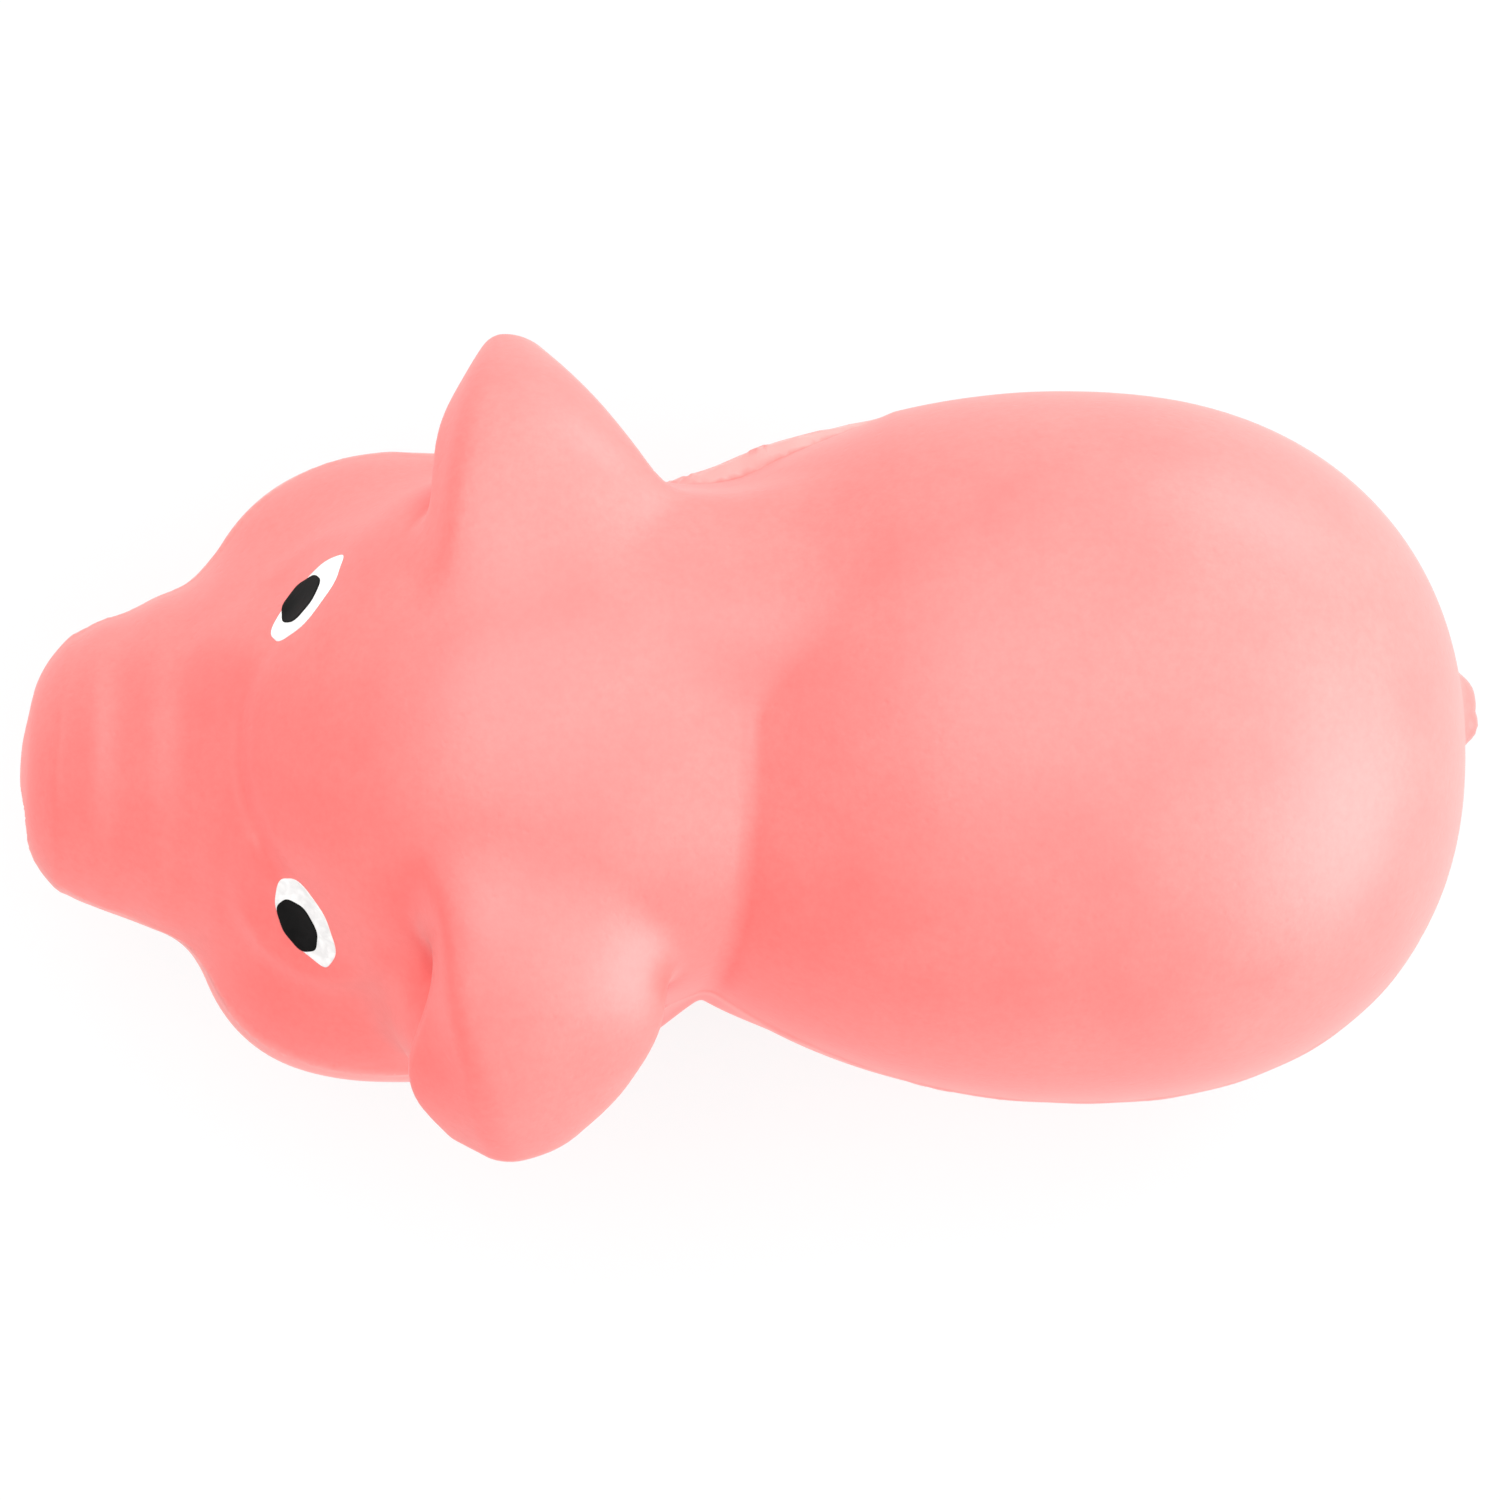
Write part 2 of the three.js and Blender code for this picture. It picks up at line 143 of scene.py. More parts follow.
# %% [markdown]
# ## The line of the mould
# Foam toys set in a mould of two halves, which leaves a thin line around them. In the photograph it shows at
# the right shoulder, where the halves met out of line and left a ledge that the light makes pale. The line
# could be drawn as a curve and projected on to a mesh. A height for each place along the pig serves form and
# colour alike, and the colour includes a painted highlight on the ledge.

# %% Mould line
cheek_line, shoulder_rise, rump_fall, raggedness = 24.6, 5.4, 3, 0.08


def mould_height(x):
    """The line between the mould halves: low over the cheeks, and highest at the shoulders."""
    return cheek_line + shoulder_rise * ramp(x, -9, -3) - rump_fall * ramp(x, 2, 16)


def below_mould_line(p):
    """How far down from the ragged line between the mould halves a point lies."""
    ragged = raggedness * np.sin(p[:, 0] * 1.7) * np.sin(p[:, 0] * 0.9 + 1)
    return mould_height(p[:, 0]) - p[:, 2] + ragged


print("mould line at cheek, shoulder and rump, mm:", mould_height(np.array([-20.0, 0, 30])))

# %% [markdown]
# ## Legs
# Short, round legs stand under the pig. The camera can't see the feet, so these are the plain stubs with a
# toe cleft that such toys have, with flat soles to stand on. A cylinder with loop cuts could be scaled to
# this shape. Here a leg's radius is a number that changes with the height, so the ankle is one short line.

# %% Legs


def corners_mm(node):
    """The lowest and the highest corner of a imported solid, in millimetres."""
    return [np.array(corner) * 1000 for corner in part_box(node)]


legs = {name: corners_mm(name) for name in ("leg_front_right", "leg_rear_right")}
foot_radius, foot_height, hip_height = 6.0, 4.2, 11
ankle_rise, ankle_depth, ankle_width = 1.2, 0.6, 1.6
sole_edge, sole_taper = 1.5, 0.4
cleft_depth, cleft_width = 0.7, 0.45
hip_inset, hip_rounding = 2, 4


def leg_form(p, low, high):
    """One leg of a pair: p is folded to the right side."""
    x, y = p[:, 0] - (low[0] + high[0]) / 2, p[:, 1] - (low[1] + high[1]) / 2
    hip = (high[0] - low[0]) / 2
    radius = foot_radius + (hip - foot_radius) * ramp(p[:, 2], foot_height, hip_height)
    ankle = ankle_depth * line(p[:, 2] - foot_height - ankle_rise, ankle_width)
    radius -= ankle + sole_taper * ramp(p[:, 2], 3, 0)
    column = np.hypot(x, y) - radius
    column = trim(column, -p[:, 2], sole_edge * 2)
    on_foot = ramp(p[:, 2], foot_height + 1.5, foot_height - 1)
    cleft = cleft_depth * line(y, cleft_width) * ramp(-x, 1, 3) * on_foot
    return trim(column + cleft, p[:, 2] - high[2] + hip_inset, hip_rounding)


print("leg heights, mm:", [round(high[2], 1) for _, high in legs.values()])

# %% [markdown]
# ## Torso
# The torso is an egg, widest behind the middle, and a little squarer at the rump than at the shoulders.
# Shoulders and haunches push the flanks out low down. Where the mould halves met out of line, the right side
# has slid outwards, less so above the mould line, which leaves the ledge. A ball shaped with proportional
# editing would come close. Here the slide is one number at each point, taken off before the egg is measured.

# %% Torso
neck = np.array(joints["neck_turn"]["pos_m"]) * 1000
torso_low, torso_high = corners_mm("torso_skin")
torso_top = corners_mm("back_skin")[1][2]
torso_centre = np.array([neck[0] + 26.3, 0, neck[2]])
torso_front, torso_inset, torso_square = 33.5, 0.1, 2.2
rump_square, shoulder_drop = 0.25, 1.8
slip_least, slip_growth, slip_shoulder, slip_upper = 0.25, 0.03, 1.6, 0.17
# A lump is its centre, then its reach to the front, rear, side, top and bottom.
shoulder_lump, shoulder_fillet = ((3, 8, 20), 11, 11, 8.8, 9, 10), 3
haunch_lump, haunch_fillet = ((32, 10, 17), 9, 8, 9.5, 10, 10), 4
leg_fillet = 3


def mould_slip(p):
    """How far the right side has slid outwards, in millimetres."""
    slip = slip_least + slip_growth * (27 - p[:, 0]) + slip_shoulder * ramp(p[:, 0], 9, -5)
    slip -= slip_upper * np.clip(9.5 - p[:, 0], 0, 10) * ramp(below_mould_line(p), 0.4, -0.4)
    slip *= ramp(p[:, 1], -3, 6) * ramp(p[:, 2], 8, 14)
    return slip


def torso_form(p):
    """The egg, with its shoulders, haunches and legs."""
    power = 2.0 + rump_square * ramp(p[:, 0], 14, 29)
    top = torso_top - neck[2] - shoulder_drop * ramp(p[:, 0], 14, -2)
    slid = p - mould_slip(p)[:, None] * [0, 1, 0]
    form = lump(slid, torso_centre, torso_front, torso_high[0] - torso_centre[0], torso_high[1] - torso_inset,
                top, neck[2] - torso_low[2], plan=power, height=torso_square)
    form = merge(form, lump(to_right(slid), *shoulder_lump), shoulder_fillet)
    form = merge(form, lump(to_right(slid), *haunch_lump), haunch_fillet)
    for low, high in legs.values():
        form = merge(form, leg_form(to_right(p), low, high), leg_fillet)
    return form


print("torso, mm:", np.round(torso_low, 1), np.round(torso_high, 1))

# %% [markdown]
# ## Snout
# The snout is a short barrel that widens towards the face, with a gently domed nose, two nostrils and two
# shallow wrinkles across its bridge. A bevelled cylinder could be modelled for it. Here the barrel is the
# distance from its axis less a radius, so that a wrinkle is only a wave added to that radius.

# %% Snout
snout_front = corners_mm("snout_tip")[0][0]
nose_height = neck[2] - 5.5
nose_radius, snout_widening, widening_end = 7.35, 0.39, 16
snout_rise, snout_flatness = 0.09, 0.86
snout_length, root_rounding = 26, 4
nose_dome, nose_skew, nose_rounding = 0.028, 0.05, 2.4
rim_height, rim_behind, rim_width = 0.12, 0.95, 0.35
wrinkle_depth, wrinkle_start, wrinkle_pitch = 0.16, 7.1, 4.3
nostril_lump, nostril_rounding = ((snout_front + 0.2, 3.2, nose_height + 0.3), 1.7, 1.7, 1.3, 1.9, 1.9), 0.8


def snout_form(p):
    """The barrel, its domed nose with a rim, the wrinkles and the nostrils."""
    behind = p[:, 0] - snout_front
    up = (p[:, 2] - nose_height - snout_rise * behind) / snout_flatness
    around = np.hypot(p[:, 1], up)
    bridge = ramp(up / np.maximum(around, 1e-6), -0.2, 0.6) * ramp(behind, 4, 6) * ramp(behind, 14.5, 12.5)
    wave = wrinkle_depth * np.cos(2 * np.pi * (behind - wrinkle_start) / wrinkle_pitch) * bridge
    barrel = around - nose_radius - snout_widening * np.minimum(behind, widening_end) + wave
    nose = nose_dome * around**2 + nose_skew * p[:, 1] - behind
    form = trim(barrel, nose, nose_rounding)
    form = trim(form, behind - snout_length, root_rounding)
    form -= rim_height * line(nose + rim_behind, rim_width) * ramp(around, 3.5, 5.5)
    return trim(form, -lump(to_right(p), *nostril_lump), nostril_rounding)


print("nose height, mm:", round(nose_height, 1))

# %% [markdown]
# ## Head
# The head is two lumps: a round skull above, and a wider, flatter pair of cheeks below. The snout runs into
# them with a wide fillet on top and a narrow one at the sides. The photograph shows a soft brow line across
# that fillet. A sculpting brush could draw it. Here it is a shallow groove along a circle, with a low swell
# on the forehead behind it.

# %% Head
head_low, head_high = corners_mm("head_skin")
cheek_centre = np.array([neck[0] - 15.7, -0.2, neck[2] - 6])
cheek_inset, cheek_rear, cheek_top = 0.3, 17.2, 9.5
cheek_square, cheek_softer, cheek_height = 3.35, 0.45, 2.2
skull_centre = np.array([neck[0] - 10, 0.5, neck[2] + 0.4])
skull_front, skull_rear, skull_side, skull_bottom = 18.5, 24, 18.0, 15
skull_round, nape_square = 2.1, 0.5
skull_fillet, face_fillet = 4, 4
snout_fillet, bridge_fillet = 2.2, 3
brow_x, brow_y, brow_radius = -19.1, -0.3, 13.5
brow_depth, brow_deeper, brow_width = 0.18, 0.12, 0.65
swell_height, swell_behind, swell_width = 0.22, 2.4, 2.0


def head_form(p):
    """Cheeks, skull and snout, with the brow line drawn above the snout."""
    square = cheek_square - cheek_softer * ramp(p[:, 1], -5, 5) * ramp(p[:, 0], -20, -26)
    cheeks = lump(p, cheek_centre, cheek_centre[0] - head_low[0] - cheek_inset, cheek_rear, head_high[1],
                  cheek_top, cheek_centre[2] - head_low[2], plan=square, height=cheek_height)
    power = skull_round + nape_square * ramp(p[:, 0], -22, -7)
    skull = lump(p, skull_centre, skull_front, skull_rear, skull_side, head_high[2] - skull_centre[2],
                 skull_bottom, plan=skull_round, height=power)
    form = merge(cheeks, skull, skull_fillet + face_fillet * ramp(p[:, 0], -18, -27))
    on_top = ramp(p[:, 2], 29, 33)
    bridge = on_top * ramp(np.abs(p[:, 1]), 11, 6)
    form = merge(form, snout_form(p), snout_fillet + bridge_fillet * bridge)
    above = on_top * ramp(np.abs(p[:, 1]), 10.5, 7) * ramp(p[:, 0], -22, -26)
    brow = np.hypot(p[:, 0] - brow_x, p[:, 1] - brow_y) - brow_radius
    groove = (brow_depth + brow_deeper * ramp(p[:, 1], 3, -6)) * line(brow, brow_width)
    return form + above * (groove - swell_height * line(brow + swell_behind, swell_width))


print("head, mm:", np.round(head_low, 1), np.round(head_high, 1))

# %% [markdown]
# ## Ears
# Each ear is a thick triangular flap. It leaves the top of the skull, bends over and hangs to the side, with
# its front edge lifted, so that its hollow faces forwards. Soft foam never sets quite evenly, and the left
# ear is a little wider. A flat triangle could be bent with a modifier. Here a point is measured along the
# ear's bent spine, across it and through it, and the outline is drawn in those.

# %% Ear outlines
ear_root, ear_bend, ear_tip = np.array([[3.0, 36.5], [16.5, 45.0], [26.0, 31.2]])
ear_outline = {  # out from the middle, leading edge, crest above the front face, trailing edge, in mm
    "right": [(8, -21.2, -20.0, -5.2), (16.5, -21.0, -18.6, -5.2), (18.2, -20.9, -18.3, -6.2),
              (20.2, -20.6, -17.9, -7.7), (22.5, -19.5, -17.4, -9.7), (26.3, -17.2, -16.6, -14.4)],
    "left": [(8, -21.7, -20.8, -5.2), (13.5, -20.7, -19.5, -5.2), (15.3, -20.9, -19.2, -5.2),
             (18.3, -22.0, -18.6, -5.3), (20.2, -23.0, -18.2, -5.9), (21.7, -23.4, -17.9, -6.8),
             (24.2, -21.9, -16.8, -9.0), (26.6, -18.4, -15.6, -14.0)]}
spine_points = 60
steps = np.linspace(0, 1, spine_points)[:, None]
spine = (1 - steps) ** 2 * ear_root + 2 * steps * (1 - steps) * ear_bend + steps**2 * ear_tip
spine_way = np.gradient(spine, axis=0)
spine_way /= np.linalg.norm(spine_way, axis=1)[:, None]
spine_length = np.r_[0, np.cumsum(np.linalg.norm(np.diff(spine, axis=0), axis=1))]


def eased(values):
    """A row of measures with its corners smoothed."""
    return np.convolve(np.pad(values, 4, "edge"), np.full(9, 1 / 9), "valid")


ear_edges = {}
for side, rows in ear_outline.items():
    out, *edges = np.array(rows).T
    ear_edges[side] = [eased(np.interp(spine[:, 0], out, edge)) for edge in edges]
print("ear spine, mm:", round(spine_length[-1], 1))

# %% Ears
sides = {"right": 1, "left": -1}
far_off = 9.0
ear_depth, ear_thinning, ear_lift = 3.9, 0.55, math.radians(14)
face_rise, face_rounding = 0.8, 1.0
hollow_depth, hollow_ahead, hollow_width = 1.0, 0.1, 0.5
tip_inset, tip_rounding = {"right": 0.9, "left": 0.7}, 1.2


def ear_form(p):
    """Both ears. Only the points near an ear are measured, and the rest are called far off."""
    form = np.full(len(p), far_off)
    for side, sign in sides.items():
        near = (sign * p[:, 1] > 1) & (p[:, 2] > 20) & (p[:, 0] > -30) & (p[:, 0] < 4)
        q = np.c_[sign * p[near, 1], p[near, 2]]
        nearest = np.argmin(((q[:, None] - spine[None]) ** 2).sum(2), axis=1)
        along = spine_length[nearest] + ((q - spine[nearest]) * spine_way[nearest]).sum(1)
        foot, way = (np.stack([np.interp(along, spine_length, row) for row in rows.T], axis=1)
                     for rows in (spine, spine_way))
        off = q - foot
        along += (off * way).sum(1)
        through = off[:, 1] * way[:, 0] - off[:, 0] * way[:, 1]
        share = np.clip(along / spine_length[-1], 0, 1)
        lead, crest, trail = (np.interp(along, spine_length, edge) for edge in ear_edges[side])
        across = p[near, 0] - (lead + trail) / 2
        lifted = across * math.cos(ear_lift) - through * math.sin(ear_lift)
        proud = across * math.sin(ear_lift) + through * math.cos(ear_lift)
        wide, deep = (trail - lead) / 2, ear_depth * (1 - ear_thinning * share**3)
        reach = np.hypot(lifted / wide, proud / deep)
        flap = np.hypot(lifted, proud) * (1 - 1 / np.maximum(reach, 1e-9))
        steep = np.arctan2(deep + face_rise, crest - lead)
        face = (through - deep) * np.cos(steep) - (p[near, 0] - crest) * np.sin(steep)
        flap = trim(flap, face, face_rounding)
        hollow = hollow_depth * line((lifted + hollow_ahead * wide) / wide, hollow_width)
        hollow = hollow * ramp(proud / deep, -0.2, -0.8)
        flap += hollow * ramp(share, 0.35, 0.6) * ramp(share, 0.98, 0.85)
        form[near] = trim(flap, along - spine_length[-1] + tip_inset[side], tip_rounding)
    return form


print("ear thickness at the root, mm:", 2 * ear_depth)

# %% [markdown]
# ## Tail
# The tail is a small curl moulded on to the rump, filled in at its middle. A curve with a round bevel would
# give the curl. Here the curve is a row of points, and the distance to the nearest of them less its thickness
# gives the same round cord, which then merges into the rump as the other lumps do.

# %% Tail
tail_low, tail_high = corners_mm("tail")
tail_points, tail_start = 40, 2.6
tail_proud, tail_shift, rump_curve = 0.1, 0.05, 0.02
tail_angle = np.linspace(0, math.radians(300), tail_points)
tail_radius = np.linspace(1.5, 0.6, tail_points)
tail_thickness = np.linspace(0.95, 0.75, tail_points)
tail_line = np.c_[
    np.full(tail_points, torso_high[0] + tail_proud),
    (tail_low[1] + tail_high[1]) / 2 + tail_shift + tail_radius * np.cos(tail_angle + tail_start),
    (tail_low[2] + tail_high[2]) / 2 + tail_radius * np.sin(tail_angle + tail_start)]
tail_line[:, 0] -= rump_curve * (tail_line[:, 1] ** 2 + (tail_line[:, 2] - neck[2]) ** 2)
tail_filling, filling_fillet = (tail_line.mean(axis=0) - [0.6, 0, 0], 2, 1.6, 2.2, 2.4, 2.4), 0.7


def tail_form(p):
    """The curl and its filling. Only the points near the tail are measured."""
    form = np.full(len(p), far_off)
    near = (p[:, 0] > 38) & (np.abs(p[:, 1]) < 12) & (np.abs(p[:, 2] - 27) < 12)
    apart = np.linalg.norm(p[near][:, None] - tail_line[None], axis=2)
    curl = (apart - tail_thickness).min(axis=1)
    form[near] = merge(curl, lump(p[near], *tail_filling), filling_fillet)
    return form


print("tail, mm:", np.round(tail_low, 1), np.round(tail_high, 1))

# %% [markdown]
# ## The whole skin
# Head and torso meet in the neck crease, sharp on the left and filled out on the right. The nape rolls over
# into it and the torso rises straight out of it. A web of foam joins the left ear's front edge to the cheek.
# Then come the small things: the soft dish around each eye with the cheek fold below it, a faint mouth line
# under the snout, and the low ridge of the mould line. Each could be a stroke of a sculpting brush. Here each
# one changes the distance by a fraction of a millimetre.

# %% Skin
ear_web, web_reach, web_fillet = np.array([-19.5, -17.6, 32.6]), (3.2, 5, 3.8, 4, 6), 4
ear_fillet, tail_fillet = 1.8, 0.9
crease_fillet, right_fillet, nape_fillet = 0.7, 2.6, 4
eye_places = {"right": np.array([-28.24, 9.2, 35.9]), "left": np.array([-28.55, -11.15, 34.8])}
eye_fold = {"right": 0.08, "left": 0.26}
dish_depth, dish_width, fold_away, fold_width = 0.22, 3.4, 5.2, 1.1
mouth_height, mouth_middle, mouth_curve = 15.4, -38, 0.03
mouth_depth, mouth_width = 0.4, 0.5
ridge_proud, ridge_width = 0.16, 0.4


def off_nose(p):
    """0 on the nose, where the mould leaves no line, and 1 behind it."""
    return ramp(p[:, 0], snout_front + 1, snout_front + 3)


def off_tail(tail):
    """0 on the tail, where the mould leaves no line, and 1 around it."""
    return ramp(tail, 0.2, 1.2)


def skin(p):
    """Distance to the skin of the whole pig, in millimetres."""
    head = merge(head_form(p), ear_form(p), ear_fillet)
    head = merge(head, lump(p, ear_web, *web_reach), web_fillet)
    tail = tail_form(p)
    torso = merge(torso_form(p), tail, tail_fillet)
    on_right = ramp(p[:, 1], 0, 9)
    on_nape = on_right * ramp(p[:, 2], 34, 40)
    form = merge(head, torso, crease_fillet + right_fillet * on_right + nape_fillet * on_nape)
    for side, place in eye_places.items():
        apart = np.linalg.norm(p - place, axis=1)
        low_side = ramp(np.abs(p[:, 1] - place[1] * 0.9) + (place[2] - p[:, 2]), 0, 4)
        low_side = low_side * (p[:, 1] * place[1] > 0)
        fold = eye_fold[side] * line(apart - fold_away, fold_width) * low_side
        form += dish_depth * line(apart, dish_width) - fold
    snout_side = ramp(p[:, 0], -29, -33) * ramp(p[:, 0], -44, -41)
    mouth = p[:, 2] - mouth_height - mouth_curve * (p[:, 0] - mouth_middle) ** 2
    form += mouth_depth * line(mouth, mouth_width) * snout_side
    uneven = 0.75 + 0.25 * np.sin(p[:, 0] * 0.9) * np.sin(p[:, 0] * 0.37 + 1)
    ridge = line(p[:, 2] - mould_height(p[:, 0]), ridge_width) * off_nose(p)
    return form - ridge_proud * uneven * ridge * off_tail(tail)


print("distance in the middle of the torso, mm:", np.round(skin(torso_centre[None]), 1))

# %% [markdown]
# ## From clay to mesh
# The rough body is a handful of balls pushed into each other, one for each lump of clay. A voxel remesh welds
# them into one even net. Marching cubes over the distances would give a net too, but a welded one can be
# sculpted into place with even faces.

# %% Rough body
rough = bmesh.new()


def ball(centre, front, rear, side, top, bottom):
    """A rough ball of clay, in metres, joined to the rough body."""
    for vert in bmesh.ops.create_icosphere(rough, subdivisions=5, radius=1)["verts"]:
        x, y, z = vert.co
        vert.co = Vector((centre[0] + x * (front if x < 0 else rear), centre[1] + y * side,
                          centre[2] + z * (bottom if z < 0 else top))) * 0.001


tail_place = (tail_line[0, 0] - 0.4, tail_line[:, 1].mean(), tail_line[:, 2].mean())
ear_ball_places, ear_ball_half = (0.3, 0.45, 0.6, 0.72, 0.84, 0.92), 2.8
leg_ball_height, leg_ball_half = 8, 9
for rough_ball in (
        (torso_centre, 36, 24.3, 22.6, 20.7, 20),
        (cheek_centre, 17.2, 17, 20, 10, 11.5),
        (skull_centre, 18, 20, 18, 16.6, 14),
        ((-34, 0, nose_height + 1), 13, 12, 10.5, 9, 9),
        (ear_web, 4.0, 5.4, 4.6, 5.0, 6.5),
        (tail_place, 2, 1.2, 2.6, 2.8, 2.8)):
    ball(*rough_ball)
for side, sign in (("left", -1), ("right", 1)):
    for share in ear_ball_places:
        index = int(share * (spine_points - 1))
        out, up = spine[index]
        lead, _, trail = (edge[index] for edge in ear_edges[side])
        wide = (trail - lead) / 2
        ball(((lead + trail) / 2, sign * out, up), wide, wide, 4.5 - 2 * share,
             ear_ball_half, ear_ball_half)
    for low, high in legs.values():
        middle = (low + high) / 2
        half = middle[0] - low[0]
        ball((middle[0], sign * middle[1], leg_ball_height), half, half, half, leg_ball_half, leg_ball_half)
print("rough body faces:", len(rough.faces))

# %% Weld
voxel_mm = 0.42
rough_mesh = bpy.data.meshes.new("rough")
rough.to_mesh(rough_mesh)
rough.free()
rough_body = bpy.data.objects.new("rough", rough_mesh)
bpy.context.scene.collection.objects.link(rough_body)
weld = rough_body.modifiers.new("weld", "REMESH")
weld.mode, weld.voxel_size = "VOXEL", voxel_mm * 0.001
bpy.context.view_layer.update()
welded = rough_body.evaluated_get(bpy.context.evaluated_depsgraph_get())
body_mesh = bpy.data.meshes.new_from_object(welded)
bpy.data.objects.remove(rough_body)
print("welded faces:", len(body_mesh.polygons))

# %% [markdown]
# ## Sculpting the net
# First the net is smoothed, which opens the tight valleys between the balls, where many of its faces would
# otherwise fold over each other. A few still do, deep in the creases. Then every point slides along the
# steepest way to the skin, relaxes sideways towards the middle of its neighbours, and slides back on. A cloth
# simulation suits a sewn cushion, but this foam has no cover that could billow: it keeps the form of its
# mould.

# %% Sculpt
smoothing_rounds, sculpting_turns, relaxing_turns = 10, 11, 9
longest_step, relaxing_share = 1, 0.6


def slope(p, step=0.03):
    """How steeply the distance grows along each axis."""
    axes = np.eye(3) * step
    return np.stack([skin(p + axis) - skin(p - axis) for axis in axes], axis=1) / (2 * step)


def points_mm(mesh):
    """The places of a mesh's points, in millimetres."""
    flat = np.empty(len(mesh.vertices) * 3)
    mesh.vertices.foreach_get("co", flat)
    return flat.reshape(-1, 3) * 1000


points = points_mm(body_mesh)
ends = np.empty(len(body_mesh.edges) * 2, int)
body_mesh.edges.foreach_get("vertices", ends)
ends = ends.reshape(-1, 2)
count = np.bincount(ends.ravel(), minlength=len(points))[:, None]


def neighbours_middle(p):
    """For each point, the middle of those that share an edge with it."""
    first, second = ends.T
    total = [np.bincount(first, p[second, k], len(p)) + np.bincount(second, p[first, k], len(p))
             for k in range(3)]
    return np.stack(total, axis=1) / count


for _ in range(smoothing_rounds):
    points = neighbours_middle(points)
for sculpting_turn in range(sculpting_turns):
    way = slope(points)
    steep = (way**2).sum(1)[:, None]
    points -= np.clip(skin(points)[:, None] / steep, -longest_step, longest_step) * way
    if sculpting_turn < relaxing_turns:
        aside = neighbours_middle(points) - points
        points += relaxing_share * (aside - (aside * way).sum(1)[:, None] * way / steep)
body_mesh.vertices.foreach_set("co", (points * 0.001).ravel())
print("body points:", len(points), "off the skin by, mm:", round(float(np.abs(skin(points)).max()), 4))

# %% [markdown]
# ## Parting the moulding
# The toy is one moulding, but it bends: at the neck, the ears, the snout, the legs and the back. There the
# net is cut by flat planes into closed pieces. It could stay whole and be weighted to bones, but each piece
# has to name the solids that it stands for. The skin's own slope gives the normals, and hides the cuts.

# %% Cutting
body = bmesh.new()
body.from_mesh(body_mesh)
bpy.data.meshes.remove(body_mesh)


def part(cuts, inside=None):
    """A closed piece of the body. Each cut is a point in mm, a direction, and the side to keep, +1 or -1."""
    bm = body.copy()
    for point, direction, keep in cuts:
        everything = bm.verts[:] + bm.edges[:] + bm.faces[:]
        bmesh.ops.bisect_plane(bm, geom=everything, dist=1e-8, plane_co=Vector(point) * 0.001,
                               plane_no=Vector(direction) * keep, clear_inner=True)
        if inside:
            bmesh.ops.delete(bm, geom=[v for v in bm.verts if not inside(v.co * 1000)], context="VERTS")
        rim = [e for e in bm.edges if e.is_boundary]
        for face in bmesh.ops.edgeloop_fill(bm, edges=rim)["faces"]:
            face.material_index = 1
        for edge in rim:
            edge.smooth = False
    bmesh.ops.recalc_face_normals(bm, faces=bm.faces)
    return bm


print("net to cut, faces:", len(body.faces))

# %% [markdown]
# ## What the colour needs to know
# Folds in the pink foam are painted a deeper pink, which is painted shade, and the thin flash at the mould
# line is painted paler, partly as the flash's own paleness and partly, on the shoulder ledge, as a painted
# highlight. Both could be painted on by hand. Here they are read from the form and kept on the points: a
# place is hollow where the skin comes nearer again a little way out, and flash lies just below the mould
# line.

# %% Hollows, flash and finished pieces
look_near, look_far = 1.0, 4.0
near_share, open_level, flash_faint = 0.6, 0.24, 0.35


def shading(p, normal, steep):
    """How hollow each point lies, for painted shade, and how much flash is on it, with a painted highlight on
    the ledge, from 0 to 1.
    """
    deep = [np.clip(1 - skin(p + normal * away) / (away * steep), 0, 1) for away in (look_near, look_far)]
    below = below_mould_line(p)
    # painted highlight: on the right shoulder's ledge the flash is made fully pale, where the light falls on
    # it
    ledge_highlight = ramp(p[:, 1], 0, 9) * ramp(p[:, 0], -8, -5) * ramp(p[:, 0], 11, 7)
    flash_and_highlight = ramp(below, -0.6, -0.2) * ramp(below, 3.5, 1.5) * (flash_faint + (1 - flash_faint) * ledge_highlight)
    flash_and_highlight *= off_nose(p) * off_tail(tail_form(p))
    # painted shade: the deeper a point lies in a fold, the deeper the pink it is painted
    hollow = np.clip(near_share * deep[0] + deep[1] - open_level, 0, 1) * (1 - flash_and_highlight)
    return {"hollow": hollow, "flash_and_highlight": flash_and_highlight}


def foam_piece(name, bm, *nodes):
    """A finished foam object, with normals and shading read from the skin."""
    caps = np.array([face.material_index == 1 for face in bm.faces])
    for face in bm.faces:
        face.material_index, face.smooth = 0, True
    mesh = bpy.data.meshes.new(name)
    bm.to_mesh(mesh)
    bm.free()
    p = points_mm(mesh)
    way = slope(p)
    steep = np.linalg.norm(way, axis=1)
    normal = way / steep[:, None]
    corner = np.empty(len(mesh.loops), int)
    mesh.loops.foreach_get("vertex_index", corner)
    sizes = np.array([face.loop_total for face in mesh.polygons])
    flat = np.repeat([face.normal for face in mesh.polygons], sizes, axis=0)
    mesh.normals_split_custom_set(np.where(np.repeat(caps, sizes)[:, None], flat, normal[corner]))
    for layer_name, values in shading(p, normal, steep).items():
        layer = mesh.attributes.new(layer_name, "FLOAT", "POINT")
        layer.data.foreach_set("value", values.astype(np.float32))
    piece = bpy.data.objects.new(name, mesh)
    bpy.context.scene.collection.objects.link(piece)
    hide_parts(*nodes)
    print(name, "faces:", len(mesh.polygons), "box mm:", np.round(p.min(0), 1), np.round(p.max(0), 1))
    return piece


print("hollows are looked for at, mm:", look_near, look_far)
